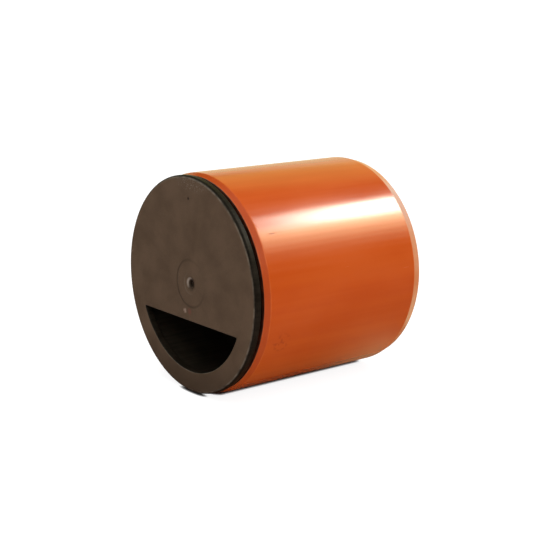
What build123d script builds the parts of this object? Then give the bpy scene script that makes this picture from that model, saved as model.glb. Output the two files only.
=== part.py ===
from build123d import *
import os

os.makedirs("parts", exist_ok=True)

# Inline foul-air trap for 110 mm drain pipe, in millimetres. It lies on its side: the pipe's axis runs
# along Y, the plate with the water inlet faces -Y, and Z = 0 is the ground that the pipe lies on.

# Sleeve: a stub of extruded drain pipe, with a bevel outside in front and a longer push-in chamfer behind
sleeve_outer_radius = 55.0
sleeve_wall = 3.2
sleeve_length = 100.0
bevel_length = 3.2
bevel_depth = 1.3
chamfer_length = 4.8
chamfer_depth = 1.3

# Front plate of the moulded insert, which stands a little off the sleeve's end
plate_inset = 0.6
plate_thickness = 3.8
plate_standoff = 2.0
rim_front_round = 1.5
rim_back_bevel = 0.6

# Inlet: a circular segment low in the plate, level along its top
inlet_band = 10.7
inlet_top_drop = 18.0
inlet_corner_round = 0.5
inlet_edge_bevel = 0.5

# Cup behind the plate: a spigot ring cemented in the bore, then a trough that ends in the weir wall
cement_gap = 0.2
cup_wall = 2.4
cup_draft = 0.4
spigot_length = 18.0
chamber_length = 42.0
chamber_corner_round = 4.0
seal_depth = 36.0
window_corner_round = 6.0
weir_lip_bevel = 0.7

# Moulding gate near the middle of the plate: a funnel, the pit of the torn gate and the mould bush's ring
gate_offset_x = 2.0
gate_offset_z = 1.2
pit_radius = 2.2
pit_floor_radius = 1.4
pit_depth = 1.7
funnel_flare = 1.6
funnel_depth = 0.5
witness_ring_radius = 11.8
witness_ring_width = 1.0
witness_ring_depth = 0.2

# How far cutting shapes run past what they cut
overrun = 1.0

bore_radius = sleeve_outer_radius - sleeve_wall
plate_radius = sleeve_outer_radius - plate_inset
inlet_radius = plate_radius - inlet_band
sleeve_front = plate_thickness + plate_standoff
sleeve_back = sleeve_front + sleeve_length
cup_radius = bore_radius - cement_gap
chamber_radius = cup_radius - cup_wall
spigot_end = plate_thickness + spigot_length
weir_front = plate_thickness + chamber_length
weir_back = weir_front + cup_wall
weir_height = seal_depth - inlet_top_drop

# A bevel outside the chamber's rounded corner that leaves the wall there as thick as the sides
even_wall_share = 2 - 2**0.5
cup_corner_bevel = even_wall_share * (chamber_corner_round + cup_wall)

# The pieces are drawn about the pipe's axis, with the plate's face at Y = 0, and then laid on the ground
lay_down = Pos(0, -sleeve_back / 2, sleeve_outer_radius)


def turned(*outline):
    """Solid of revolution about the pipe's axis from (radius, distance behind the plate's face) corners."""
    return revolve(make_face(Polyline(*outline, close=True)), Axis.Y)


def make_sleeve():
    """Pipe stub: its wall profile, bevelled outside in front and chamfered behind, turned about the axis."""
    return turned(
        (bore_radius, sleeve_front),
        (sleeve_outer_radius - bevel_depth, sleeve_front),
        (sleeve_outer_radius, sleeve_front + bevel_length),
        (sleeve_outer_radius, sleeve_back - chamfer_length),
        (sleeve_outer_radius - chamfer_depth, sleeve_back),
        (bore_radius, sleeve_back),
    )


def make_plate():
    """Round front plate, its rim rounded in front and bevelled behind."""
    profile = Pos(plate_radius / 2, plate_thickness / 2) * Rectangle(plate_radius, plate_thickness)
    profile = fillet(profile.vertices().group_by(Axis.X)[-1].sort_by(Axis.Y)[0], rim_front_round)
    profile = chamfer(profile.vertices().group_by(Axis.X)[-1].sort_by(Axis.Y)[-1], rim_back_bevel)
    return revolve(profile, Axis.Y)


def make_drafted_plug(radius, end, finish_corner, corner_size):
    """Plug behind the plate that narrows by the mould's draft up to its end, its far corner finished."""
    end_radius = radius - cup_draft
    profile = make_face(
        Polyline((0, plate_thickness), (radius, plate_thickness), (end_radius, end), (0, end), close=True)
    )
    far_corner = profile.vertices().sort_by(Axis.X)[-2:].sort_by(Axis.Y)[-1]
    return revolve(finish_corner(far_corner, corner_size), Axis.Y)


def make_window():
    """Block that opens the cup behind its spigot ring and above the weir, rounded where the two meet."""
    back = weir_back + overrun
    top = cup_radius + overrun
    side = make_face(
        Polyline((spigot_end, weir_height), (back, weir_height), (back, top), (spigot_end, top), close=True)
    )
    inner_corner = side.vertices().sort_by(Axis.X)[:2].sort_by(Axis.Y)[0]
    side = fillet(inner_corner, window_corner_round)
    return extrude(Plane.YZ * side, amount=top, both=True)


def make_inlet():
    """Cutter for the segment-shaped inlet: a disc less all that lies above the level top edge."""
    margin = inlet_radius + overrun
    above = Pos(0, margin - inlet_top_drop) * Rectangle(2 * margin, 2 * margin)
    segment = Circle(inlet_radius) - above
    segment = fillet(segment.vertices(), inlet_corner_round)
    return extrude(Plane.XZ.offset(overrun) * segment, amount=-(plate_thickness + 2 * overrun))


def make_gate_mark():
    """Cutter for the gate mark: a funnel that ends in a tapered pit and, round it, a V-shaped ring."""
    funnel_radius = pit_radius + funnel_flare
    pit = turned(
        (0, 0),
        (funnel_radius, 0),
        (pit_radius, funnel_depth),
        (pit_floor_radius, pit_depth),
        (0, pit_depth),
    )
    ring = turned(
        (witness_ring_radius - witness_ring_width / 2, 0),
        (witness_ring_radius + witness_ring_width / 2, 0),
        (witness_ring_radius, witness_ring_depth),
    )
    return Pos(gate_offset_x, 0, gate_offset_z) * (pit + ring)


def make_insert():
    """One moulding: plate, spigot ring, trough and weir, with the inlet and the gate mark in the plate."""
    cup = make_drafted_plug(cup_radius, weir_back, chamfer, cup_corner_bevel)
    chamber = make_drafted_plug(chamber_radius, weir_front, fillet, chamber_corner_round)
    insert = make_plate() + (cup - chamber - make_window()) - make_inlet()
    front_face = insert.faces().filter_by(Axis.Y).sort_by(Axis.Y)[0]
    insert = chamfer(front_face.inner_wires()[0].edges(), inlet_edge_bevel)
    weir_lip = insert.edges().filter_by(Axis.X).filter_by_position(Axis.Y, weir_front, weir_back)
    return chamfer(weir_lip, weir_lip_bevel) - make_gate_mark()


export_step(lay_down * make_sleeve(), "parts/pipe_sleeve.step")
export_step(lay_down * make_insert(), "parts/trap_insert.step")
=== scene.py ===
import math

import bmesh
import bpy
import numpy as np
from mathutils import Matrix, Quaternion, Vector


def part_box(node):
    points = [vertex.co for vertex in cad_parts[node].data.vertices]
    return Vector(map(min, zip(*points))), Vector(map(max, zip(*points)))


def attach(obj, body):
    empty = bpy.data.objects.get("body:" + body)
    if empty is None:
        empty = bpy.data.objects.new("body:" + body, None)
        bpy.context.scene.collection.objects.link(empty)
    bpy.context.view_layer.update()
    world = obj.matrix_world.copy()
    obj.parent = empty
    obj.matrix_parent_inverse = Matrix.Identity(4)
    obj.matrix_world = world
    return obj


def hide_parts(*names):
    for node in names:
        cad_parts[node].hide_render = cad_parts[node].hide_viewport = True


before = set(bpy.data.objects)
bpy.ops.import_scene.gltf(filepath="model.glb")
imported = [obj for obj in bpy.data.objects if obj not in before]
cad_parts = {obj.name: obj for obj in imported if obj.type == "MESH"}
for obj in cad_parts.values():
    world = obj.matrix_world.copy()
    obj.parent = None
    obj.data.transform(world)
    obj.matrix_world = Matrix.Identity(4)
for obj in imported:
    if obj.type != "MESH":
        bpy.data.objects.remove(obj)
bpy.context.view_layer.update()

# Pipe sleeve: a stub sawn from orange-brown drain pipe, extruded in PVC, with a short bevel turned on its
# front end and a longer push-in chamfer on its rear end. It lies on the floor and carries the moulded insert.
sleeve_low, sleeve_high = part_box("pipe_sleeve")
axis_height = (sleeve_low.z + sleeve_high.z) / 2
sleeve_radius = (sleeve_high.z - sleeve_low.z) / 2
pipe_wall = 0.0032
bore_radius = sleeve_radius - pipe_wall
bevel_length = 0.0032
chamfer_length = 0.0048
end_turning = 0.0013
end_radius = sleeve_radius - end_turning
bore_edge_round = 0.0002
end_edge_round = 0.00035
shoulder_round = 0.0025
sleeve_columns = 288
merge_distance = 1e-6


def rounded_profile(corners, rounds, support=0.0004, steps=6):
    """Closed outline with each corner replaced by an arc.

    The arc touches both sides at round * tan(turn / 2) from the corner and is sampled at equal turns.
    A support point follows each arc and comes before the next, so that flat stretches shade flat.
    """
    corner = np.array(corners)
    ahead = np.roll(corner, -1, axis=0) - corner
    length = np.linalg.norm(ahead, axis=1)
    ahead = ahead / length[:, None]
    heading = np.arctan2(ahead[:, 1], ahead[:, 0])
    turn = (heading - np.roll(heading, 1) + np.pi) % (2 * np.pi) - np.pi
    reach = np.array(rounds) * np.tan(np.abs(turn) / 2)
    points = []
    for i, radius in enumerate(rounds):
        start = corner[i] - reach[i] * ahead[i - 1]
        side = np.sign(turn[i])
        normal = side * np.array([-ahead[i - 1][1], ahead[i - 1][0]])
        swing = heading[i - 1] + np.linspace(0, turn[i], steps + 1)
        arc = start + radius * normal + radius * side * np.stack([np.sin(swing), -np.cos(swing)], 1)
        flat = length[i] - reach[i] - reach[(i + 1) % len(reach)]
        gap = min(support, flat / 3)
        points += [arc, arc[-1] + gap * ahead[i], arc[-1] + (flat - gap) * ahead[i]]
    return np.vstack(points)


def turned_surface(profile, columns):
    """Grid of a profile of (radius, y) points turned about the pipe's axis.

    x = radius * cos(angle), z = axis height + radius * sin(angle), with the first column and row repeated.
    """
    angle = np.linspace(0, 2 * np.pi, columns + 1)
    loop = np.vstack([profile, profile[:1]])
    radius = loop[:, :1]
    height = axis_height + radius * np.sin(angle)
    return np.stack([radius * np.cos(angle), loop[:, 1:] + 0 * angle, height], -1)


def mesh_from_grids(name, grids, **vertex_values):
    """One closed mesh: each grid's neighbouring points become quads, and points that coincide are merged.

    Each vertex value is a list with one array per grid, stored as a float attribute of that name.
    """
    points = np.vstack([grid.reshape(-1, 3) for grid in grids])
    quads = []
    first = 0
    for grid in grids:
        rows, columns = grid.shape[:2]
        index = first + np.arange(rows * columns).reshape(rows, columns)
        corners = index[:-1, :-1], index[:-1, 1:], index[1:, 1:], index[1:, :-1]
        quads.append(np.stack(corners, -1).reshape(-1, 4))
        first += rows * columns
    mesh = bpy.data.meshes.new(name)
    mesh.from_pydata(points, [], np.vstack(quads))
    for value_name, arrays in vertex_values.items():
        values = np.concatenate([np.broadcast_to(a, g.shape[:2]).ravel() for a, g in zip(arrays, grids)])
        mesh.attributes.new(value_name, "FLOAT", "POINT").data.foreach_set("value", values.astype(np.float32))
    shell = bmesh.new()
    shell.from_mesh(mesh)
    bmesh.ops.remove_doubles(shell, verts=shell.verts, dist=merge_distance)
    bmesh.ops.recalc_face_normals(shell, faces=shell.faces)
    shell.to_mesh(mesh)
    shell.free()
    mesh.shade_smooth()
    piece = bpy.data.objects.new(name, mesh)
    bpy.context.scene.collection.objects.link(piece)
    return piece


sleeve_profile = rounded_profile(
    [
        (bore_radius, sleeve_low.y),
        (end_radius, sleeve_low.y),
        (sleeve_radius, sleeve_low.y + bevel_length),
        (sleeve_radius, sleeve_high.y - chamfer_length),
        (end_radius, sleeve_high.y),
        (bore_radius, sleeve_high.y),
    ],
    [bore_edge_round, end_edge_round, shoulder_round, shoulder_round, end_edge_round, bore_edge_round],
)
sleeve = mesh_from_grids("extruded_sleeve", [turned_surface(sleeve_profile, sleeve_columns)])


def add_node(tree, kind, inputs=None, **settings):
    """New shader node: settings are its properties, and an input is a constant or another node's socket."""
    node = tree.nodes.new(kind)
    for key, value in settings.items():
        setattr(node, key, value)
    for key, value in (inputs or {}).items():
        if isinstance(value, bpy.types.NodeSocket):
            tree.links.new(value, node.inputs[key])
        else:
            node.inputs[key].default_value = value
    return node


class Finish:
    """Procedural material under construction, with a method for each kind of pattern that it needs."""

    def __init__(self, name):
        self.material = bpy.data.materials.new(name)
        self.material.use_nodes = True
        self.tree = self.material.node_tree
        self.shader = self.tree.nodes["Principled BSDF"]
        self.place = self.node("ShaderNodeTexCoord").outputs["Object"]

    def node(self, kind, inputs=None, **settings):
        """New node of this material."""
        return add_node(self.tree, kind, inputs, **settings)

    def axes(self):
        """The X, Y and Z coordinates."""
        return self.node("ShaderNodeSeparateXYZ", {"Vector": self.place}).outputs

    def distance(self, centre, keep=(1, 1, 1)):
        """Distance from a point, counted only along the axes that are kept."""
        offset = [-c * k for c, k in zip(centre, keep)]
        inputs = {"Vector": self.place, "Location": offset, "Scale": keep}
        local = self.node("ShaderNodeMapping", inputs).outputs["Vector"]
        return self.node("ShaderNodeVectorMath", {0: local}, operation="LENGTH").outputs["Value"]

    def noise(self, size, stretch=(1, 1, 1), detail=3.0):
        """Random pattern about 0.5, with blotches of a size in metres, longer along stretched axes."""
        scale = [1 / (size * s) for s in stretch]
        local = self.node("ShaderNodeMapping", {"Vector": self.place, "Scale": scale}).outputs["Vector"]
        inputs = {"Vector": local, "Scale": 1.0, "Detail": detail}
        return self.node("ShaderNodeTexNoise", inputs).outputs["Fac"]

    def levels(self, value, low, high, start=0.0, end=1.0):
        """Eased step: start where the value is under low, end where it is over high."""
        limits = {"Value": value, "From Min": low, "From Max": high, "To Min": start, "To Max": end}
        return self.node("ShaderNodeMapRange", limits, interpolation_type="SMOOTHSTEP").outputs["Result"]

    def join(self, operation, *values):
        """Values joined one after another by a Math operation such as ADD, MULTIPLY or MAXIMUM."""
        result = values[0]
        for value in values[1:]:
            result = self.node("ShaderNodeMath", {0: result, 1: value}, operation=operation).outputs["Value"]
        return result

    def band(self, value, middle, half_width):
        """1 where the value has its middle, eased down to 0 at the half width on both sides."""
        off = self.node("ShaderNodeMath", {0: self.join("SUBTRACT", value, middle)}, operation="ABSOLUTE")
        return self.levels(off.outputs["Value"], 0, half_width, 1, 0)

    def spot(self, centre, half_sizes):
        """1 at a centre, fading evenly to 0 at the half sizes along X, Y and Z."""
        inputs = {"Vector": self.place, "Location": centre, "Scale": half_sizes}
        local = self.node("ShaderNodeMapping", inputs, vector_type="TEXTURE").outputs["Vector"]
        return self.node("ShaderNodeTexGradient", {"Vector": local}, gradient_type="SPHERICAL").outputs["Fac"]

    def tint(self, share, first, second):
        """Colour that goes from the first to the second as the share goes from 0 to 1."""
        inputs = {"Factor": share, "A": first, "B": second}
        return self.node("ShaderNodeMix", inputs, data_type="RGBA").outputs["Result"]

    def set(self, **sockets):
        """Sets the shader's inputs, named with underscores, to constants or to patterns."""
        for name, value in sockets.items():
            socket = self.shader.inputs[name.replace("_", " ").title().replace("Ior", "IOR")]
            if isinstance(value, bpy.types.NodeSocket):
                self.tree.links.new(value, socket)
            else:
                socket.default_value = value

    def relief(self, *layers):
        """Bump made of layers of (pattern, height in metres), one over another."""
        normal = None
        for pattern, height in layers:
            bump = self.node("ShaderNodeBump", {"Height": pattern, "Distance": height})
            if normal:
                self.tree.links.new(normal, bump.inputs["Normal"])
            normal = bump.outputs["Normal"]
        self.set(normal=normal)


pvc_orange = (0.38, 0.05, 0.0037, 1)
pvc_pale_orange = (0.413, 0.06, 0.0048, 1)
pvc_cut_orange = (0.46, 0.085, 0.012, 1)
pvc_bevel_shade_orange = (0.27, 0.026, 0.002, 1)
pvc_chamfer_highlight = (0.46, 0.155, 0.055, 1)
pvc_worn_edge_highlight = (0.47, 0.095, 0.018, 1)
gap_shade_brown = (0.02, 0.005, 0.002, 1)
scuff_brown = (0.24, 0.03, 0.004, 1)
scuff_place = (-22.5, 0.0125)
scuff_half_size = 0.0065
scratch_place = (34.2, 0.0108)
scratch_half_sizes = (0.0004, 0.0023, 0.0004)
edge_blur = 0.0001
arris_half_width = 0.0005

# Sizes of the patterns across, how much longer they are along the pipe, and the depths of their relief
chip_size = 0.009
cloud_size = 0.026
cloud_stretch = (1, 2, 1)
broad_line_width = 0.006
broad_line_stretch = (1, 30, 1)
die_line_width = 0.0014
die_line_stretch = (1, 80, 1)
die_line_depth = 0.00002
hairline_width = 0.00022
hairline_stretch = (1, 45, 1)
smudge_size = 0.0022
ripple_size = 0.0022
ripple_depth = 0.000012
gap_shade_lump_size = 0.004
tool_line_width = 0.00028
tool_line_stretch = (40, 1, 40)
saw_line_width = 0.0005
saw_line_stretch = (1, 1, 30)
cut_line_depth = 0.00004
scratch_depth = 0.0001

# Where each pattern starts and where it is full
chip_limits = (0.35, 0.75)
hairline_limits = (0.7, 0.8)
smudge_limits = (0.5, 0.66)
scuff_limits = (0, 0.6)
scratch_limits = (0.05, 0.5)
groove_limits = (0, 0.5)
gap_shade_limits = (0.3, 0.7)
pigment_limits = (0.7, 1.15)
sheen_limits = (0.7, 1.3)

# Shares of the wear, the painted shade in the joint and the pigment's lines, shares of each tint, and
# roughness
chip_shares = (0.1, 0.8)
gap_shade_shares = (0.86, 1)
broad_line_share = 0.6
die_line_share = 0.25
sawn_tint_share = 0.8
bevel_shade_share = 0.4
chamfer_highlight_share = 0.85
scuff_tint_share = 0.75
pvc_roughness = (0.18, 0.25)
hairline_roughness = 0.03
turned_roughness = 0.26
marked_roughness = 0.24
sawn_roughness = 0.6


def on_sleeve(degrees, behind_front):
    """Point of the sleeve's outside, in degrees over its right side and metres behind its front end."""
    angle = math.radians(degrees)
    height = axis_height + sleeve_radius * math.sin(angle)
    return sleeve_radius * math.cos(angle), sleeve_low.y + behind_front, height


def drain_pipe_pvc():
    """Orange-brown PVC: cloudy pigment, die lines, turned bevels, sawn ends, scuffs, painted shade and
    highlights.
    """
    finish = Finish("drain_pipe_pvc")
    along = finish.axes()["Y"]
    radius = finish.distance((0, 0, axis_height), keep=(1, 0, 1))
    outside = finish.levels(radius, bore_radius + edge_blur, bore_radius + 6 * edge_blur)

    # Where the lathe and the saw have been, and the worn arrises between them, paled as wear and painted
    # highlights
    front_shoulder = sleeve_low.y + bevel_length
    rear_shoulder = sleeve_high.y - chamfer_length
    bevel = finish.levels(along, front_shoulder - edge_blur, front_shoulder + edge_blur, 1, 0)
    chamfer = finish.levels(along, rear_shoulder - edge_blur, rear_shoulder + edge_blur)
    turned = finish.join("MULTIPLY", outside, finish.join("MAXIMUM", bevel, chamfer))
    front_end = finish.levels(along, sleeve_low.y + edge_blur, sleeve_low.y + 3 * edge_blur, 1, 0)
    rear_end = finish.levels(along, sleeve_high.y - 3 * edge_blur, sleeve_high.y - edge_blur)
    sawn = finish.join("MAXIMUM", front_end, rear_end)
    front_edge = sleeve_low.y + 4 * edge_blur
    arrises = [finish.band(along, y, arris_half_width) for y in (front_edge, front_shoulder, rear_shoulder)]
    chipping = finish.levels(finish.noise(chip_size, detail=5), *chip_limits, *chip_shares)
    wear_and_highlight = finish.join("MULTIPLY", outside, chipping, finish.join("MAXIMUM", *arrises))

    # Pigment, die lines, the marks of handling, and painted shade in lumps on the front end face in the
    # joint's gap
    clouds = finish.noise(cloud_size, cloud_stretch, detail=5)
    broad_lines = finish.noise(broad_line_width, broad_line_stretch, detail=2)
    die_lines = finish.noise(die_line_width, die_line_stretch, detail=2)
    hairlines = finish.levels(finish.noise(hairline_width, hairline_stretch, detail=1), *hairline_limits)
    smudge = finish.levels(finish.noise(smudge_size, detail=2), *smudge_limits)
    scuffs = finish.spot(on_sleeve(*scuff_place), 3 * [scuff_half_size])
    scuffed = finish.join("MULTIPLY", smudge, finish.levels(scuffs, *scuff_limits))
    scratch = finish.spot(on_sleeve(*scratch_place), scratch_half_sizes)
    marked = finish.join("MAXIMUM", scuffed, finish.levels(scratch, *scratch_limits))
    gap_shade_lumps = finish.levels(finish.noise(gap_shade_lump_size), *gap_shade_limits, *gap_shade_shares)
    painted_gap_shade = finish.join("MULTIPLY", front_end, gap_shade_lumps)

    lines = finish.join(
        "ADD",
        finish.join("MULTIPLY", broad_lines, broad_line_share),
        finish.join("MULTIPLY", die_lines, die_line_share),
    )
    pigment = finish.levels(finish.join("ADD", clouds, lines), *pigment_limits)
    colour = finish.tint(pigment, pvc_orange, pvc_pale_orange)
    colour = finish.tint(finish.join("MULTIPLY", sawn, sawn_tint_share), colour, pvc_cut_orange)
    # Painted shade: the front bevel, which faces away from the light, is darkened towards a deeper orange.
    colour = finish.tint(finish.join("MULTIPLY", bevel, bevel_shade_share), colour, pvc_bevel_shade_orange)
    # Painted highlight: the rear chamfer, which faces the lights behind, is tinted paler as if lit by them.
    pale = finish.join("MULTIPLY", chamfer, outside, chamfer_highlight_share)
    colour = finish.tint(pale, colour, pvc_chamfer_highlight)
    # Partly wear, partly painted highlight: the chipped arrises are paled where they would catch the light.
    colour = finish.tint(wear_and_highlight, colour, pvc_worn_edge_highlight)
    colour = finish.tint(finish.join("MULTIPLY", marked, scuff_tint_share), colour, scuff_brown)
    # Painted shade: the front end face is darkened to near black in the shaded gap behind the plate.
    colour = finish.tint(painted_gap_shade, colour, gap_shade_brown)

    matt = finish.levels(finish.join("ADD", clouds, die_lines), *sheen_limits, *pvc_roughness)
    matt = finish.join("ADD", matt, finish.join("MULTIPLY", hairlines, hairline_roughness))
    for mask, roughness in ((turned, turned_roughness), (marked, marked_roughness), (sawn, sawn_roughness)):
        matt = finish.join("MAXIMUM", matt, finish.join("MULTIPLY", mask, roughness))
    finish.set(base_color=colour, roughness=matt)

    tool_lines = finish.join("MULTIPLY", turned, finish.noise(tool_line_width, tool_line_stretch, detail=2))
    saw_lines = finish.join("MULTIPLY", sawn, finish.noise(saw_line_width, saw_line_stretch, detail=2))
    finish.relief(
        (finish.join("MULTIPLY", outside, die_lines), die_line_depth),
        (finish.join("MULTIPLY", outside, finish.noise(ripple_size, detail=2)), ripple_depth),
        (finish.join("ADD", tool_lines, saw_lines), cut_line_depth),
        (finish.levels(scratch, *groove_limits, 1, 0), scratch_depth),
    )
    return finish.material


sleeve.data.materials.append(drain_pipe_pvc())
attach(sleeve, "root")
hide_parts("pipe_sleeve")

# Trap insert: one dark brown injection moulding cemented into the sleeve. Its plate closes the pipe but for
# a segment-shaped inlet; behind it a spigot ring sits in the bore and a trough ends in the weir wall.
insert_low, insert_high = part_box("trap_insert")
face_y = insert_low.y
plate_radius = (insert_high.x - insert_low.x) / 2
plate_thickness = 0.0038
rim_front_round = 0.0015
rim_back_round = 0.0007
face_radius = plate_radius - rim_front_round
face_hollow = 0.00008
inlet_band = 0.0107
inlet_radius = plate_radius - inlet_band
inlet_top = -0.018
inlet_corner_round = 0.0005
inlet_edge_round = 0.0005
land_height = inlet_top + inlet_edge_round
gate_x = 0.002
gate_height = 0.0012
funnel_radius = 0.0038
funnel_depth = 0.0005
pit_radius = 0.0022
pit_floor_radius = 0.0014
pit_depth = 0.0017
gate_stub_radius = 0.0008
gate_stub_height = 0.0006
bush_ring_radius = 0.0052
bush_ring_height = 0.00006
witness_ring_radius = 0.0118
witness_ring_depth = 0.0002
ring_half_width = 0.0008
ring_margin_share = 1.2
ring_deep_side = math.radians(205)
# Painted highlight on the gate pit's lit wall: its radius, width and side
pit_highlight_radius = 0.0028
pit_highlight_half_width = 0.001
pit_highlight_side = math.radians(150)
cement_gap = 0.0002
cup_radius = bore_radius - cement_gap
cup_wall = 0.0024
cup_draft = 0.0004
neck_fillet = 0.0003
spigot_length = 0.018
spigot_end = plate_thickness + spigot_length
weir_back = insert_high.y - face_y
weir_front = weir_back - cup_wall
weir_height = 0.018
window_round = 0.006
window_top = weir_height + window_round
trough_start = spigot_end + window_round
chamber_round = 0.004
even_wall_share = 2 - 2**0.5
cup_corner_bevel = even_wall_share * (chamber_round + cup_wall)
lip_round = 0.0006
inlet_corner_steps = 10
inlet_arc_steps = 52
bottom_steps = 2 * inlet_corner_steps + inlet_arc_steps
side_steps = 20
window_steps = 8
top_steps = 64
round_steps = 6
fillet_steps = 5
lip_steps = 8
stub_rows = 5
pit_rows = 9
funnel_rows = 12
bush_ring_rows = 9
witness_ring_rows = 13


def insert_place(x, depth, height):
    """Points of the insert from x, depth behind the face and height over the axis.

    The plate's face is moulded slightly hollow: its depth grows by hollow * (1 - (r / face radius) ** 2),
    less and less towards the plate's back.
    """
    x, depth, height = np.broadcast_arrays(x, depth, height)
    inside = np.clip(1 - (x**2 + height**2) / face_radius**2, 0, 1)
    hollow = face_hollow * inside * np.clip(1 - depth / plate_thickness, 0, 1)
    return np.stack([x, face_y + depth + hollow, axis_height + height], -1)


def spaced(start, end, steps):
    """Evenly spaced values from start up to, but not including, end."""
    return start + (end - start) * np.arange(steps) / steps


window_turn = np.linspace(0, np.pi / 2, window_steps + 1)
window_heights = window_top - window_round * np.cos(window_turn)


def column_angles(radius):
    """Angles of the insert's columns on circles of the given radii, clockwise from the inlet's right land.

    They run along the lower band, up the left side to the weir's height, round the window's corner, over the
    top and down the right side. An angle at a given height is arcsin(height / radius), so that each edge
    which lies at one height has one column.
    """
    r = np.reshape(radius, (-1, 1))
    land = np.arcsin(land_height / r)
    weir = np.arcsin(weir_height / r)
    top = np.arcsin(window_top / r)
    corner = np.arcsin(window_heights / r)
    return np.hstack([
        spaced(land, -np.pi - land, bottom_steps),
        spaced(-np.pi - land, -np.pi - weir, side_steps),
        -np.pi - corner[:, :-1],
        spaced(-np.pi - top, top - 2 * np.pi, top_steps),
        corner[:, :0:-1] - 2 * np.pi,
        spaced(weir - 2 * np.pi, land - 2 * np.pi, side_steps),
        land - 2 * np.pi,
    ])


def round_rows(radius, depth):
    """Grid of circles about the pipe's axis, one row per radius, at the given depths."""
    r = np.reshape(radius, (-1, 1))
    angle = column_angles(r)
    return insert_place(r * np.cos(angle), depth, r * np.sin(angle))


corner_centre_height = inlet_top - inlet_corner_round
corner_centre_x = math.sqrt((inlet_radius - inlet_corner_round)**2 - corner_centre_height**2)
corner_end = math.atan2(corner_centre_height, corner_centre_x)
upper_steps = 2 * side_steps + 2 * window_steps + top_steps


def inlet_outline(offset):
    """x and height of the inlet's outline, moved out by the offset, with one point per column.

    From the right end of its level top edge: a corner arc, the large arc about the pipe's axis, the other
    corner arc, and back along the level edge.
    """
    right_turn = spaced(np.pi / 2, corner_end, inlet_corner_steps)
    sweep = spaced(corner_end, -np.pi - corner_end, inlet_arc_steps)
    left_turn = spaced(-np.pi - corner_end, -1.5 * np.pi, inlet_corner_steps)
    corner = inlet_corner_round + offset
    arc = inlet_radius + offset
    level_x = np.linspace(-corner_centre_x, corner_centre_x, upper_steps + 1)
    x = np.hstack([
        corner_centre_x + corner * np.cos(right_turn),
        arc * np.cos(sweep),
        corner * np.cos(left_turn) - corner_centre_x,
        level_x,
    ])
    height = np.hstack([
        corner_centre_height + corner * np.sin(right_turn),
        arc * np.sin(sweep),
        corner_centre_height + corner * np.sin(left_turn),
        np.full_like(level_x, inlet_top + offset),
    ])
    return x, height


def bump_across(distance, half_width):
    """Smooth hump of height 1: (1 + cos(pi * distance / half width)) / 2 inside the half width, else 0."""
    return np.where(np.abs(distance) < half_width, (1 + np.cos(np.pi * distance / half_width)) / 2, 0)


def eased(share):
    """Smooth step from 0 to 1 of a share that is held between them: s * s * (3 - 2 * s)."""
    s = np.clip(share, 0, 1)
    return s**2 * (3 - 2 * s)


def gate_depth(radius, angle):
    """Depth of the gate mark: a funnel, the torn gate's pit with a stub in it, and two rings round them.

    The inner ring is a faint ridge that the edge of the mould's bush has left, within the face's hollow.
    The outer ring fades out on the way round from its deep side, as (1 + cos(turn from it)) / 2 eased.
    """
    funnel = funnel_depth * eased((funnel_radius - radius) / (funnel_radius - pit_radius))
    pit = (pit_depth - funnel_depth) * eased((pit_radius - radius) / (pit_radius - pit_floor_radius))
    stub = gate_stub_height * bump_across(radius, gate_stub_radius)
    inner = bush_ring_height * bump_across(radius - bush_ring_radius, ring_half_width)
    pressed = eased((1 + np.cos(angle - ring_deep_side)) / 2)
    outer = witness_ring_depth * pressed * bump_across(radius - witness_ring_radius, ring_half_width)
    return funnel + pit - stub - inner + outer


# The plate's face lies between the rim and the inlet: below the inlet's level edge as a band, and above it
# as rings round the gate that open out to the rim and the level edge.
rim_x, _, rim_height = np.moveaxis(round_rows(face_radius, 0)[0], -1, 0)
rim_height = rim_height - axis_height
edge_x, edge_height = inlet_outline(inlet_edge_round)
band_shares = np.array([0, 0.05, 0.2, 0.5, 0.8, 0.95, 1])[:, None]
band_x = (edge_x + (rim_x - edge_x) * band_shares)[:, :bottom_steps + 1]
band_height = (edge_height + (rim_height - edge_height) * band_shares)[:, :bottom_steps + 1]


def round_the_gate(rim, band, level):
    """Border of the upper face: the rim from left to right, the right land, the level edge, the left land."""
    return np.hstack([rim[bottom_steps:], band[-2:0:-1, 0], level[:bottom_steps - 1:-1], band[1:, -1]])


border_x = round_the_gate(rim_x, band_x, edge_x)
border_height = round_the_gate(rim_height, band_height, edge_height)
border_angle = np.arctan2(border_height - gate_height, border_x - gate_x)
ring_reach = ring_margin_share * ring_half_width
gate_rows = np.hstack([
    np.linspace(0, gate_stub_radius, stub_rows),
    np.linspace(pit_floor_radius, pit_radius, pit_rows),
    np.linspace(pit_radius, funnel_radius, funnel_rows + 1)[1:],
    bush_ring_radius + np.linspace(-ring_reach, ring_reach, bush_ring_rows),
    (bush_ring_radius + witness_ring_radius) / 2,
    witness_ring_radius + np.linspace(-ring_reach, ring_reach, witness_ring_rows),
])[:, None]
gate_dip = gate_depth(gate_rows, border_angle)
ring_x = gate_x + gate_rows * np.cos(border_angle)
ring_height = gate_height + gate_rows * np.sin(border_angle)
outward_shares = np.array([0.1, 0.35, 0.65, 0.9, 0.975, 1])[:, None]
face_grid = np.vstack([
    insert_place(ring_x, gate_dip, ring_height),
    insert_place(
        ring_x[-1] + (border_x - ring_x[-1]) * outward_shares,
        0,
        ring_height[-1] + (border_height - ring_height[-1]) * outward_shares,
    ),
])
band_grid = insert_place(band_x, 0, band_height)

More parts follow.
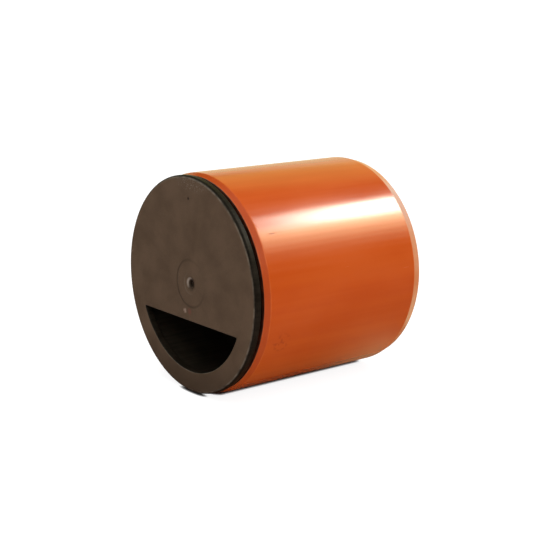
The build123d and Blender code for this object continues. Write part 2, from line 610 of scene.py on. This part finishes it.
# Outside: the rim, the plate's back, the neck in the gap and the spigot ring down to the window's edge.
ring_end = np.hstack([
    np.full(bottom_steps + side_steps, trough_start),
    (trough_start - window_round * np.sin(window_turn))[:-1],
    np.full(top_steps, spigot_end),
    (trough_start - window_round * np.sin(window_turn))[:0:-1],
    np.full(side_steps + 1, trough_start),
])
ring_lip_shares = np.hstack([
    np.zeros(bottom_steps + side_steps),
    np.sin(window_turn)[:-1],
    np.ones(top_steps),
    np.sin(window_turn)[:0:-1],
    np.zeros(side_steps + 1),
])
ring_end = ring_end - lip_round * ring_lip_shares
quarter = np.linspace(0, np.pi / 2, round_steps + 1)


def cup_outside(depth):
    """Radius of the cup's outside, which narrows evenly by the mould's draft."""
    return cup_radius - cup_draft * (depth - plate_thickness) / (weir_back - plate_thickness)


def cup_inside(depth):
    """Radius of the chamber, which narrows evenly by the mould's draft."""
    return cup_radius - cup_wall - cup_draft * (depth - plate_thickness) / (weir_front - plate_thickness)


neck_radius = cup_outside(plate_thickness + neck_fillet)
rim_shares = np.array([0.1, 0.5, 0.9])
rim_radii = np.hstack([
    face_radius + rim_front_round * np.sin(quarter),
    np.full(len(rim_shares), plate_radius),
    plate_radius - rim_back_round * (1 - np.cos(quarter)),
    neck_radius + 2 * neck_fillet,
    neck_radius + neck_fillet * (1 - np.sin(quarter)),
])
rim_depths = np.hstack([
    rim_front_round * (1 - np.cos(quarter)),
    rim_front_round + rim_shares * (plate_thickness - rim_front_round - rim_back_round),
    plate_thickness - rim_back_round * (1 - np.sin(quarter)),
    plate_thickness,
    plate_thickness + neck_fillet * (1 - np.cos(quarter)),
])


def shell_rows(radius_at, start, shares):
    """Grid of a cup wall from the start depth to the window's edge, each row at its share of the way."""
    share = shares[:, None]
    depth = start + (ring_end - start) * share
    radius = radius_at(depth)
    angle = column_angles(radius_at(start + (trough_start - start) * share))
    return insert_place(radius * np.cos(angle), depth, radius * np.sin(angle))


shell_shares = np.array([0, 0.03, 0.25, 0.5, 0.75, 0.97, 1])
rim_grid = round_rows(rim_radii, rim_depths[:, None])
outer_shell = shell_rows(cup_outside, plate_thickness + neck_fillet, shell_shares)
inner_shell = shell_rows(cup_inside, plate_thickness, shell_shares)

# Inlet: its rounded edge, its wall through the plate and the plate's back round it, out to the chamber.
inlet_wall_shares = np.array([0.1, 0.9, 1])
back_shares = np.array([0, 0.05, 0.5, 0.95, 1])[:, None, None]
edge_offsets = np.hstack([inlet_edge_round * (1 - np.sin(quarter)), np.zeros(len(inlet_wall_shares))])
edge_depths = np.hstack([
    inlet_edge_round * (1 - np.cos(quarter)),
    inlet_edge_round + inlet_wall_shares * (plate_thickness - inlet_edge_round),
])
wall_x, wall_height = np.array([inlet_outline(offset) for offset in edge_offsets]).swapaxes(0, 1)
inlet_grid = insert_place(wall_x, edge_depths[:, None], wall_height)
chamber_start = inner_shell[0]
inlet_back = inlet_grid[-1]
back_grid = inlet_back + (chamber_start - inlet_back) * back_shares

# Free edge of the spigot ring, and the trough: its outside, the weir wall's back, lip and front, its inside.
left_end = bottom_steps + side_steps
right_start = bottom_steps + upper_steps - side_steps
upper = slice(left_end, right_start + 1)
lower = np.r_[right_start:right_start + side_steps, :left_end + 1]
wall_shares = (1 - np.cos(np.linspace(0, np.pi, lip_steps + 1))) / 2
lip_power = 3
crown_shares = 1 - np.abs(2 * wall_shares - 1)**lip_power
ring_outer = outer_shell[-1, upper]
ring_inner = inner_shell[-1, upper]
ring_edge = ring_outer + (ring_inner - ring_outer) * wall_shares[:, None, None]
ring_edge[..., 1] += lip_round * ring_lip_shares[upper] * crown_shares[:, None]


def trough_rows(radius, depth):
    """Grid of circles about the pipe's axis over the trough's columns, from its right edge to its left."""
    return round_rows(radius, np.reshape(depth, (-1, 1)))[:, lower]


bevel_shares = np.array([0.06, 0.94, 1])
trough_shares = np.array([0, 0.03, 0.5, 0.97, 1])
outer_depths = trough_start + (weir_back - cup_corner_bevel - trough_start) * trough_shares
outer_bevel = weir_back - cup_corner_bevel * (1 - bevel_shares)
bevel_radii = cup_outside(outer_depths[-1]) - cup_corner_bevel * bevel_shares
trough_outside = trough_rows(
    np.hstack([cup_outside(outer_depths), bevel_radii]),
    np.hstack([outer_depths, outer_bevel]),
)
fillet_turn = np.linspace(0, np.pi / 2, fillet_steps + 1)
fillet_depths = weir_front - chamber_round * (1 - np.sin(fillet_turn))
straight_end = trough_start + trough_shares[-2] * (fillet_depths[0] - trough_start)
inner_depths = np.hstack([trough_start, straight_end, fillet_depths])
inner_radii = cup_inside(np.minimum(inner_depths, fillet_depths[0]))
inner_radii[2:] -= chamber_round * (1 - np.cos(fillet_turn))
trough_inside = trough_rows(inner_radii, inner_depths)
weir_end_power = 8
weir_lip_shares = 1 - np.linspace(-1, 1, len(lower))**weir_end_power


def lip_line(wall_row):
    """Level line from the row's first point to its last, lowered in between by the lip's rounding."""
    share = np.linspace(0, 1, len(wall_row))[:, None]
    line = wall_row[0] + (wall_row[-1] - wall_row[0]) * share
    line[:, 2] -= lip_round * weir_lip_shares
    return line


up_wall_shares = np.array([0.02, 0.3, 0.65, 0.97])[:, None, None]
back_line = lip_line(trough_outside[-1])
front_line = lip_line(trough_inside[-1])
weir_lip = back_line + (front_line - back_line) * wall_shares[:, None, None]
weir_lip[..., 2] += lip_round * weir_lip_shares * crown_shares[:, None]
trough_grid = np.vstack([
    trough_outside,
    trough_outside[-1] + (back_line - trough_outside[-1]) * up_wall_shares,
    weir_lip,
    (trough_inside[-1] + (front_line - trough_inside[-1]) * up_wall_shares)[::-1],
    trough_inside[::-1],
])


def trough_edge(column):
    """Level edge of the trough's side: the wall from outside to inside at one end column, row by row."""
    outside = trough_outside[:, column, None]
    return outside + (trough_inside[:, column, None] - outside) * wall_shares[:, None]


# Finish of the vertices, as shares: the bloom that the etched mould leaves on the face, its lighter colour
# partly painted sheen, which fades out over the edges and, as painted shade, in the gate's pit; the wear and
# painted highlights along edges and ridges; and a painted highlight on the lit wall of the torn gate's pit.
pit_shade_share = 0.9
pit_shade_power = 0.4
sheen_fade_rate = 3
highlight_middle_share = 0.25
highlight_half_share = 0.25
ridge_highlight_share = 0.5
outer_rows = np.zeros((len(face_grid) - len(gate_rows), len(border_angle)))
# Painted shade: the face's colour fades towards near black down into the gate's pit.
gate_pit_shade = pit_shade_share * np.clip(gate_dip / pit_depth, 0, 1)**pit_shade_power
pit_highlight_turn = np.clip(np.cos(border_angle - pit_highlight_side), 0, 1)
ridge_turn = np.clip(np.cos(border_angle - ring_deep_side), 0, 1)
face_bloom = 1 - np.vstack([gate_pit_shade, outer_rows])
gate_blush = np.vstack([bump_across(gate_rows - pit_highlight_radius, pit_highlight_half_width) * pit_highlight_turn, outer_rows])
ridge_highlight_and_wear = np.vstack([bump_across(gate_rows - bush_ring_radius, ring_half_width) * ridge_turn, outer_rows])


def over_edge(values, grid):
    """The values on a grid's rows that round its edge, and 0 on all rows after them."""
    return np.vstack([np.reshape(values, (-1, 1)), np.zeros((len(grid) - len(values), 1))])


edge_fade = eased(1 - sheen_fade_rate * quarter / quarter[-1])
edge_highlight_and_rub = bump_across(quarter / quarter[-1] - highlight_middle_share, highlight_half_share)
front_grids = [face_grid, band_grid, rim_grid, inlet_grid]
rear_grids = [outer_shell, back_grid, inner_shell, ring_edge, trough_grid, trough_edge(0), trough_edge(-1)]
plain_rear = len(rear_grids) * [0]
rim_highlight_and_rub = over_edge(edge_highlight_and_rub, rim_grid)
inlet_highlight_and_rub = over_edge(edge_highlight_and_rub, inlet_grid)
insert = mesh_from_grids(
    "moulded_insert",
    front_grids + rear_grids,
    face_bloom=[face_bloom, 1, over_edge(edge_fade, rim_grid), over_edge(edge_fade, inlet_grid)] + plain_rear,
    edge_wear=[ridge_highlight_share * ridge_highlight_and_wear, 0, rim_highlight_and_rub, inlet_highlight_and_rub] + plain_rear,
    gate_blush=[gate_blush, 0, 0, 0] + plain_rear,
)

face_brown = (0.079, 0.0495, 0.0305, 1)
face_pale_brown = (0.104, 0.066, 0.042, 1)
smooth_black = (0.006, 0.0046, 0.003, 1)
smooth_pale_black = (0.012, 0.0092, 0.0062, 1)
inner_brown = (0.014, 0.0112, 0.0078, 1)
inner_pale_brown = (0.022, 0.018, 0.0125, 1)
rubbed_highlight_grey = (0.155, 0.122, 0.092, 1)
pit_wall_highlight_grey = (0.25, 0.2, 0.165, 1)
fleck_grey = (0.15, 0.115, 0.088, 1)
chip_pink = (0.26, 0.18, 0.14, 1)
stain_red = (0.13, 0.05, 0.034, 1)
face_bottom_shade = (0.05, 0.032, 0.02, 1)
fleck_middle = (0.005, 0.0525)
fleck_half_sizes = (0.017, 0.0065)
chip_place = (-0.0031, -0.0133)
chip_half_size = 0.0021
stain_place = (0.0008, -0.013)
stain_half_size = 0.0026
bottom_shade_height = 0.03
vent_place = (0.0013, 0.0435)
vent_half_size = 0.0013
vent_depth = 0.0001

# Sizes of the patterns and the depths of their relief, then shares of shades and tints, and roughness
mottle_size = 0.011
mottle_depth = 0.00008
grain_size = 0.0005
etch_size = 0.00028
etch_depth = 0.00003
draw_line_width = 0.0012
draw_line_stretch = (1, 40, 1)
draw_line_depth = 0.000008
ragged_size = 0.0008
highlight_patch_size = 0.004
streaks_round_gate = 9.0
bore_shade_blur = 0.0005
flow_share = 0.2
grain_share = 0.35
bottom_shade_share = 0.75
mark_tint_share = 0.8
vent_tint_share = 0.75
highlight_patch_shares = (0.25, 0.9)
smooth_roughness = (0.4, 0.52)
etched_roughness = 0.18
moulded_specular = 0.07

# Where each pattern starts and where it is full
fleck_limits = (0.53, 0.62)
fleck_area_limits = (0, 0.5)
face_chip_limits = (0.1, 0.35)
stain_limits = (0.08, 0.4)
vent_limits = (0.2, 0.7)
shade_limits = (0.5, 1.05)
flow_line_limits = (0.8, 1.2)
patch_limits = (0.3, 0.7)


def moulded_polypropylene():
    """Dark brown moulded plastic: near black where the mould was smooth, matt brown with painted sheen on the
    etched face.
    """
    finish = Finish("moulded_polypropylene")
    bloom, highlight_and_rub, blush = [
        finish.node("ShaderNodeAttribute", attribute_name=name).outputs["Fac"]
        for name in ("face_bloom", "edge_wear", "gate_blush")
    ]
    mottle = finish.noise(mottle_size, detail=6)
    grain = finish.noise(grain_size, detail=2)
    etch = finish.noise(etch_size, detail=1)
    draw_lines = finish.noise(draw_line_width, draw_line_stretch, detail=2)

    # Streaks of the melt that flowed out from the gate: noise over the direction from it
    offset = finish.node("ShaderNodeMapping", {
        "Vector": finish.place,
        "Location": (-gate_x, 0, -axis_height - gate_height),
        "Scale": (1, 0, 1),
    }).outputs["Vector"]
    heading = finish.node("ShaderNodeVectorMath", {0: offset}, operation="NORMALIZE").outputs["Vector"]
    streaks = {"Vector": heading, "Scale": streaks_round_gate, "Detail": 4.0}
    flow = finish.node("ShaderNodeTexNoise", streaks).outputs["Fac"]

    def mark(place, half_size, height=None):
        """Round or level oval mark on the face at x and a height over the axis."""
        centre = (place[0], face_y, axis_height + place[1])
        return finish.spot(centre, (half_size, half_size, height or half_size))

    ragged = finish.noise(ragged_size, detail=3)
    flecks = finish.join(
        "MULTIPLY",
        finish.levels(mark(fleck_middle, *fleck_half_sizes), *fleck_area_limits),
        finish.levels(ragged, *fleck_limits),
    )
    chip = finish.join("MULTIPLY", mark(chip_place, chip_half_size), ragged)
    chip = finish.levels(chip, *face_chip_limits)
    stain = finish.join("MULTIPLY", mark(stain_place, stain_half_size), ragged)
    stain = finish.levels(stain, *stain_limits)
    vent = finish.levels(mark(vent_place, vent_half_size), *vent_limits)

    shade = finish.join(
        "ADD",
        mottle,
        finish.join("MULTIPLY", flow, flow_share),
        finish.join("MULTIPLY", grain, grain_share),
    )
    face_colour = finish.tint(finish.levels(shade, *shade_limits), face_brown, face_pale_brown)
    # Painted shade: the face darkens towards its bottom, near the floor.
    painted_bottom_shade = finish.levels(finish.axes()["Z"], 0, bottom_shade_height, bottom_shade_share, 0)
    face_colour = finish.tint(painted_bottom_shade, face_colour, face_bottom_shade)
    for share, mark_colour in ((flecks, fleck_grey), (stain, stain_red), (chip, chip_pink)):
        face_colour = finish.tint(finish.join("MULTIPLY", share, mark_tint_share), face_colour, mark_colour)
    face_colour = finish.tint(finish.join("MULTIPLY", vent, vent_tint_share), face_colour, smooth_black)
    flow_lines = finish.levels(finish.join("ADD", mottle, draw_lines), *flow_line_limits)
    in_bore = finish.levels(finish.axes()["Y"], sleeve_low.y, sleeve_low.y + bore_shade_blur)
    smooth_colour = finish.tint(
        in_bore,
        finish.tint(flow_lines, smooth_black, smooth_pale_black),
        finish.tint(flow_lines, inner_brown, inner_pale_brown),
    )
    # The etched face's lighter brown is partly its matt bloom and partly painted sheen.
    colour = finish.tint(bloom, smooth_colour, face_colour)
    # Partly wear, partly painted highlight: the edges and the ring's ridge are paled where they would catch
    # the light.
    patchy = finish.levels(finish.noise(highlight_patch_size, detail=4), *patch_limits, *highlight_patch_shares)
    colour = finish.tint(finish.join("MULTIPLY", highlight_and_rub, patchy), colour, rubbed_highlight_grey)
    # Painted highlight: the upper left wall of the gate's pit, which faces the light, is paled.
    colour = finish.tint(blush, colour, pit_wall_highlight_grey)
    smooth = finish.levels(mottle, *patch_limits, *smooth_roughness)
    matt = finish.join("ADD", smooth, finish.join("MULTIPLY", bloom, etched_roughness))
    finish.set(base_color=colour, roughness=matt, specular_ior_level=moulded_specular)
    finish.relief(
        (finish.join("MULTIPLY", bloom, etch), etch_depth),
        (finish.join("MULTIPLY", bloom, mottle), mottle_depth),
        (draw_lines, draw_line_depth),
        (finish.levels(vent, 0, 1, 1, 0), vent_depth),
    )
    return finish.material


insert.data.materials.append(moulded_polypropylene())
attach(insert, "root")
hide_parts("trap_insert")

# Studio: a wide white light table under an even overhead light. A soft window behind on the right, the walls
# round it and the table itself show in the plastic. The camera stands at the front right, a little above.
floor_half_width = 60.0
contact_reach = 0.0022
contact_shares = (0.35, 0.8)
bounce_drop = 0.0002


def add_floor(name, height, whiteness, glow):
    """Wide level plane of matt white that shows in no reflection.

    It may glow, but not where something stands over it at less than the contact's reach: a painted contact
    shadow.
    """
    mesh = bpy.data.meshes.new(name)
    corners = np.array([(-1, -1, 0), (1, -1, 0), (1, 1, 0), (-1, 1, 0)]) * floor_half_width
    mesh.from_pydata(corners + (0, 0, height), [], [(0, 1, 2, 3)])
    white = Finish(name)
    white.set(base_color=(whiteness, whiteness, whiteness, 1), roughness=0.9, specular_ior_level=0.0)
    open_share = white.node("ShaderNodeAmbientOcclusion", {"Distance": contact_reach}).outputs["AO"]
    # Painted contact shadow: the glow dims where something stands close over the floor.
    lit = white.levels(open_share, *contact_shares, 0, glow)
    white.set(emission_color=(1, 1, 1, 1), emission_strength=lit)
    mesh.materials.append(white.material)
    plane = bpy.data.objects.new(name, mesh)
    plane.visible_glossy = False
    bpy.context.scene.collection.objects.link(plane)
    return plane


# The glowing floor is what the camera sees; the plain one just under it is what throws light back up.
light_table = add_floor("light_table", height=0, whiteness=0.2, glow=0.9)
light_table.visible_diffuse = False
light_table.visible_shadow = False
bounce_table = add_floor("bounce_table", height=-bounce_drop, whiteness=0.7, glow=0)
bounce_table.visible_camera = False


def towards(azimuth, elevation):
    """Unit vector from the object at an azimuth, counted from the front to the right, and an elevation."""
    a = math.radians(azimuth)
    e = math.radians(elevation)
    return Vector((math.sin(a) * math.cos(e), -math.cos(a) * math.cos(e), math.sin(e)))


def add_light(
    name, kind, direction, power, colour=(1, 1, 1), roll=0, away=1.0, facing=None, seen_by="matt", **settings
):
    """Light in a direction and distance from the middle of the sleeve, which it faces unless told otherwise.

    The camera doesn't see the light itself. It lights what is matt, or it shows in what is glossy.
    """
    light = bpy.data.lights.new(name, kind)
    light.energy = power
    light.color = colour
    for key, value in settings.items():
        setattr(light, key, value)
    back = facing or direction
    lamp = bpy.data.objects.new(name, light)
    lamp.location = Vector((0, 0, axis_height)) + away * direction
    lamp.rotation_mode = "QUATERNION"
    lamp.rotation_quaternion = Quaternion(back, math.radians(roll)) @ back.to_track_quat("Z", "Y")
    lamp.visible_camera = False
    lamp.visible_diffuse = seen_by == "matt"
    lamp.visible_glossy = seen_by == "gloss"
    bpy.context.scene.collection.objects.link(lamp)


def add_card(name, direction, power, colour, width, height, shape="RECTANGLE", **placing):
    """Evenly lit card that shows only in what is glossy."""
    add_light(
        name, "AREA", direction, power, colour, seen_by="gloss",
        shape=shape, size=width, size_y=height, **placing,
    )


add_light("overhead_sky", "SUN", towards(110, 68), power=4.1, angle=math.radians(100))
add_light("front_fill", "SUN", towards(60, 25), power=0.4, angle=math.radians(40))
window_white = (1, 0.97, 0.85)
add_card(
    "back_window", towards(155.4, 42.6), power=5.9, colour=window_white, width=0.225, height=0.22,
    roll=37,
)
add_card("front_window", towards(318, 38), power=5.5, colour=window_white, width=0.6, height=0.5)
add_card("backdrop", towards(224, 12), power=1.2, colour=(1, 1, 0.65), width=0.9, height=0.5)
add_card(
    "ceiling", towards(214, 37), power=0.67, colour=(1, 0.9, 0.28), width=0.7, height=0.5,
    shape="ELLIPSE",
)
add_card("rear_wall", towards(181, 23.5), power=1.7, colour=(0.4, 0.95, 1), width=0.6, height=0.34)
add_card("rear_card", towards(163, 4), power=0.037, colour=(0.7, 1, 0.85), width=0.09, height=0.1, away=0.24)
add_card(
    "table_card", towards(166.4, -17.8), power=0.035, colour=(0.9, 1, 0.65), width=0.08, height=0.14,
    away=0.178, facing=towards(0, -90),
)


def add_glow(name, middle, along, across, start, half_size, colour, strength):
    """Card that shows only in what is glossy, with a glow that fades into what lies behind the card.

    The glow's share is (1 - distance from the middle / half size) ** 2. The card reaches the half size to
    both sides along one direction, and across it from start * half size to the half size.
    """
    corners = np.array([(-1, start), (1, start), (1, 1), (-1, 1)]) * half_size
    mesh = bpy.data.meshes.new(name)
    mesh.from_pydata(np.array(middle) + corners @ np.array([along, across]), [], [(0, 1, 2, 3)])
    glow = Finish(name)
    fade = glow.spot(middle, 3 * [half_size])
    glow.set(base_color=(0, 0, 0, 1), specular_ior_level=0.0, emission_color=colour)
    glow.set(emission_strength=strength, alpha=glow.join("MULTIPLY", fade, fade))
    mesh.materials.append(glow.material)
    card = bpy.data.objects.new(name, mesh)
    card.visible_camera = False
    card.visible_diffuse = False
    card.visible_shadow = False
    bpy.context.scene.collection.objects.link(card)


# The wall under the back window fades away from it, and the table is brightest just behind the sleeve.
wall_direction = towards(147.5, 40.6)
wall_along = (Vector((0, 1, 0)) - wall_direction.y * wall_direction).normalized()
add_glow(
    "window_glow", Vector((0, 0, axis_height)) + wall_direction, wall_along, wall_along.cross(wall_direction),
    start=0, half_size=0.48, colour=(1, 0.87, 0.48, 1), strength=18,
)
glow_right = 0.038
glow_behind_sleeve = 0.003
glow_height = 0.0003
add_glow(
    "table_glow", (glow_right, sleeve_high.y + glow_behind_sleeve, glow_height), (1, 0, 0), (0, 1, 0),
    start=-1, half_size=0.06, colour=(1, 0.62, 0.3, 1), strength=0.85,
)

# Round all this, the camera sees plain white. What is glossy shows a dim room over the table's level and a
# warm table under it, with the pipe's own shade on the left.
white_backdrop = (1, 1, 1, 1)
room_light = (0.3, 0.28, 0.26, 1)
mirrored_room = (0.1, 0.12, 0.02, 1)
mirrored_table = (0.36, 0.12, 0.035, 1)
mirrored_shade = (0.1, 0.035, 0.018, 1)
level_fade = (0, -0.12)
shade_left_fade = (-0.33, -0.55)
shade_low_fade = (-0.15, -0.35)
room = bpy.data.worlds.new("room")
room.use_nodes = True
tree = room.node_tree
ray = add_node(tree, "ShaderNodeLightPath").outputs
direction = add_node(tree, "ShaderNodeTexCoord").outputs["Generated"]
heading = add_node(tree, "ShaderNodeSeparateXYZ", {"Vector": direction}).outputs


def sky_step(value, low, high):
    """Eased step from 0 to 1 as a coordinate of the direction goes from low to high, or down to it."""
    limits = {"Value": value, "From Min": low, "From Max": high}
    return add_node(tree, "ShaderNodeMapRange", limits, interpolation_type="SMOOTHSTEP").outputs["Result"]


def sky_mix(share, first, second):
    """Colour that goes from the first to the second as the share goes from 0 to 1."""
    inputs = {"Factor": share, "A": first, "B": second}
    return add_node(tree, "ShaderNodeMix", inputs, data_type="RGBA").outputs["Result"]


below = sky_step(heading["Z"], *level_fade)
left = sky_step(heading["X"], *shade_left_fade)
low = sky_step(heading["Z"], *shade_low_fade)
shaded = add_node(tree, "ShaderNodeMath", {0: left, 1: low}, operation="MULTIPLY").outputs["Value"]
mirrored = sky_mix(below, mirrored_room, mirrored_table)
mirrored = sky_mix(shaded, mirrored, mirrored_shade)
colour = sky_mix(ray["Is Glossy Ray"], room_light, mirrored)
colour = sky_mix(ray["Is Camera Ray"], colour, white_backdrop)
tree.links.new(colour, tree.nodes["Background"].inputs["Color"])
bpy.context.scene.world = room
bpy.context.scene.view_settings.view_transform = "Standard"

camera_distance = 0.6357
camera_lens = 80.99
camera_sensor = 36
aim_behind_face = 0.045
aim_right = 0.00736
aim_down = 0.00108
camera_back = towards(51.87, 13.02)
camera_right = Vector((-camera_back.y, camera_back.x, 0)).normalized()
camera_up = camera_back.cross(camera_right)
aim = Vector((0, face_y + aim_behind_face, axis_height)) + aim_right * camera_right - aim_down * camera_up
camera = bpy.data.objects.new("camera", bpy.data.cameras.new("camera"))
camera.data.lens = camera_lens
camera.data.sensor_width = camera_sensor
camera.location = aim + camera_distance * camera_back
camera.rotation_mode = "QUATERNION"
camera.rotation_quaternion = camera_back.to_track_quat("Z", "Y")
bpy.context.scene.collection.objects.link(camera)
bpy.context.scene.camera = camera
